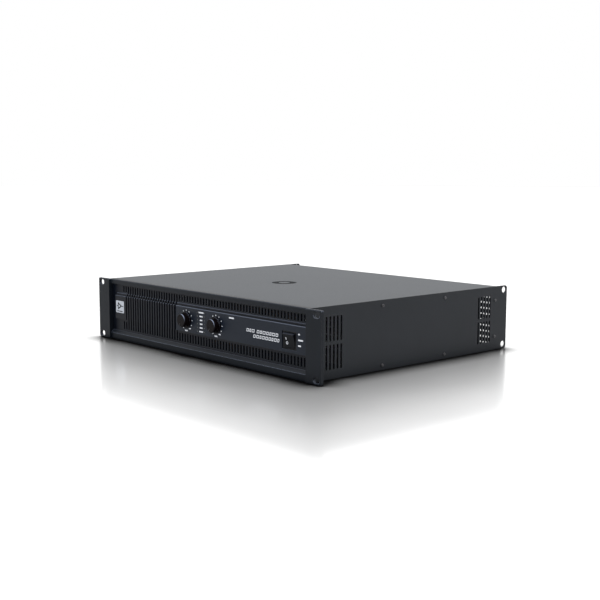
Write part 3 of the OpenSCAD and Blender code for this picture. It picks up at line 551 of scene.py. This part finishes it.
def badge_symbol():
    """The generic circuit symbol of an amplifier, a triangle with its leads, in dark ink."""
    centre = middle("badge")
    x, z = centre.x, centre.z + 1.2
    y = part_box("badge")[0].y
    bm = bmesh.new()
    outer = [(x - 5.2, z + 5.6), (x + 5.8, z), (x - 5.2, z - 5.6)]
    inner = [(x - 3.4, z + 2.6), (x + 1.8, z), (x - 3.4, z - 2.6)]
    print_mark(bm, outer, y, -1, inner)
    for side in (-7.0, 7.3):
        print_mark(bm, bar((x + side, z), (2.6, 1.4), 0.3), y, -1)
    print_mark(bm, bar((x, z - 7.5), (14, 1.3)), y, -1)
    piece("badge_symbol", bm, "chassis", "emblem_dark", smooth=False)


def rocker_marks():
    """I for on above O for off, each printed on its own slope of the rocker."""
    pivot = joint_at["power_rock"]
    tilt = Matrix.Rotation(math.radians(11), 4, "X")
    bm = bmesh.new()
    slope = 1.1 / 9.4  # the front falls from 4 mm at the ends to 2.9 mm in the middle

    def on_rocker(point):
        return pivot + tilt @ Vector((point.x, point.y - abs(point.z) * slope, point.z))

    y = -2.9 * MM
    print_mark(bm, bar((-4.8, 2.6), (1.3, 3.0), 0.3), y, -1, to_frame=on_rocker)
    print_mark(bm, circle((-3.8, -2.8), 1.8, 24), y, -1, circle((-3.8, -2.8), 1.1, 24), on_rocker)
    piece("rocker_marks", bm, "rocker", "ink_white", smooth=False)


def pointer_lines():
    """Paint in the pointer groove of each knob, which points to seven o'clock at rest."""
    away = Vector((-0.5, 0, -math.sqrt(0.75)))
    aside = Vector((away.z, 0, -away.x))
    for node, body in (("gain_knob_a", "gain_a"), ("gain_knob_b", "gain_b")):
        centre = middle(node) * MM
        floor_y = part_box(node)[0].y + 0.5 * MM

        def along_groove(point, centre=centre):
            across = centre + aside * point.x + away * point.z
            return Vector((across.x, point.y, across.z))

        bm = bmesh.new()
        print_mark(bm, bar((0, 6.4), (1.1, 3.4), 0.2), floor_y, -1, to_frame=along_groove)
        piece(node + "_pointer", bm, body, "ink_faint", smooth=False)


# ---- Rear legends ----


def outline_box(bm, centre, size, stroke=0.6):
    """A printed frame with rounded corners on the rear panel."""
    inner = (size[0] - 2 * stroke, size[1] - 2 * stroke)
    print_mark(bm, bar(centre, size, 2.5), BACK_Y, 1, bar(centre, inner, 2.5 - stroke))


def plus_sign(centre, reach, half):
    """Outline of a plus sign whose arms are 2 half wide."""
    x, z = centre
    corner = [(half, reach), (half, half), (reach, half)]
    points = []
    for turn in range(4):
        a = -math.pi / 2 * turn
        points += [(x + u * math.cos(a) - v * math.sin(a), z + u * math.sin(a) + v * math.cos(a))
                   for u, v in corner]
    return points


def rear_legends():
    """Frames round the groups of connectors, signs at the posts, dots for the channels."""
    bm = bmesh.new()
    inputs = [middle("latch_tab_a").x, middle("latch_tab_b").x]
    rows = [middle("post_nut_a_pos").z, middle("post_nut_b_pos").z]
    centre_z = sum(rows) / 2
    outline_box(bm, (sum(inputs) / 2, centre_z), (62, REAR_FRAME_H))
    post_x = [middle("post_nut_a_pos").x, middle("post_nut_a_neg").x]
    speaker_x = middle("speaker_sockets").x
    left = min(post_x) - 10
    outline_box(bm, ((left + speaker_x + 15) / 2, centre_z), (speaker_x + 15 - left, REAR_FRAME_H))
    for count, z in ((1, rows[0]), (2, rows[1])):
        for k in range(count):
            shift = (k - (count - 1) / 2) * 2.6
            print_mark(bm, circle((sum(inputs) / 2 + shift, z), 0.9, 16), BACK_Y, 1)
            print_mark(bm, circle((sum(post_x) / 2 + shift, z), 0.9, 16), BACK_Y, 1)
        print_mark(bm, plus_sign((post_x[0], z + 10.5), 1.6, 0.35), BACK_Y, 1)
        print_mark(bm, bar((post_x[1], z + 10.5), (3.2, 0.7), 0.2), BACK_Y, 1)
    inlet, button = middle("mains_inlet"), middle("breaker_button")
    outline_box(bm, (inlet.x, centre_z), (36, REAR_FRAME_H))
    ring, hole = (circle((button.x, button.z), radius, 32) for radius in (12.4, 11.8))
    print_mark(bm, ring, BACK_Y, 1, hole)
    for lever, places in (("mode_lever", 3), ("lift_lever", 2)):
        spot = middle(lever)
        for k in range(places):
            print_mark(bm, bar((spot.x + 6.5, spot.z + k * LEVER_STEP), (2.4, 0.7), 0.2), BACK_Y, 1)
    piece("rear_legends", bm, "chassis", "ink_white", smooth=False)


# ---- Inside ----


def lathe(bm, centre, outline, sides, ripple=None):
    """A closed ring swept round a vertical axis. outline lists radius and height in millimetres;
    ripple(k) gives how far turn k is drawn in."""
    x, y = centre
    mid_r, mid_z = (sum(p[i] for p in outline) / len(outline) for i in (0, 1))
    rings = []
    for k in range(sides):
        a = 2 * math.pi * k / sides
        inset = ripple(k) if ripple else 0.0
        ring = []
        for radius, height in outline:
            away = Vector((radius - mid_r, height - mid_z))
            away *= 1 - inset / max(away.length, 1)
            ring.append(bm.verts.new((
                (x + (mid_r + away.x) * math.cos(a)) * MM,
                (y + (mid_r + away.x) * math.sin(a)) * MM,
                (mid_z + away.y) * MM,
            )))
        rings.append(ring)
    for k in range(sides):
        here, there = rings[k], rings[(k + 1) % sides]
        for i in range(len(outline)):
            n = (i + 1) % len(outline)
            bm.faces.new((here[i], here[n], there[n], there[i]))


def taped_transformer():
    """The toroid in its overlapping turns of tape, inside the CAD ring."""
    low, high = (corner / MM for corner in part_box("transformer"))
    outer = (high.x - low.x) / 2
    hole, corner_r = 20.0, 12.0
    outline = bar(((hole + outer) / 2, (low.z + high.z) / 2), (outer - hole, high.z - low.z), corner_r)
    centre = ((low.x + high.x) / 2, (low.y + high.y) / 2)
    steps = 4
    bm = bmesh.new()
    lathe(bm, centre, outline, 60 * steps, lambda k: 0.1 + 0.45 * (k % steps) / (steps - 1))
    made = piece("taped_transformer", bm, "chassis", "winding")
    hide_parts("transformer")


def capacitor_tops():
    """A rolled rim and a cross-shaped vent score on each capacitor can."""
    low, high = (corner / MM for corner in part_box("reservoir_capacitors"))
    radius, top = 15.0, high.z
    columns = [low.x + radius + i * (high.x - low.x - 2 * radius) / 3 for i in range(4)]
    bm = bmesh.new()
    for x in columns:
        for y in (low.y + radius, high.y - radius):
            rim = [(radius - 2.4 + 0.9 * math.cos(a), top + 0.1 + 0.7 * math.sin(a))
                   for a in [math.radians(45 * k) for k in range(8)]]
            lathe(bm, (x, y), rim, 36)
            for turn in (0, 90):
                a = math.radians(turn + 45)
                along, across = Vector((math.cos(a), math.sin(a))), Vector((-math.sin(a), math.cos(a)))
                for sign in (-1, 1):
                    foot = [Vector((x, y)) + sign * (along * u + across * v)
                            for u, v in ((1.2, -0.3), (9, -0.3), (9, 0.3), (1.2, 0.3))]
                    lower, upper = (
                        [bm.verts.new((p.x * MM, p.y * MM, (top + rise) * MM)) for p in foot]
                        for rise in (0.02, 0.3)
                    )
                    bm.faces.new(lower)
                    bm.faces.new(upper)
                    for k in range(4):
                        bm.faces.new((lower[k], lower[(k + 1) % 4], upper[(k + 1) % 4], upper[k]))
    piece("capacitor_tops", bm, "chassis", "bright_steel")


# ---- Build ----

add_camera()
add_studio()
add_floor(floor_look())
LOOKS = make_looks()
dress_cad()
front_legends()
lamp_lenses()
badge_symbol()
rocker_marks()
pointer_lines()
rear_legends()
taped_transformer()
capacitor_tops()
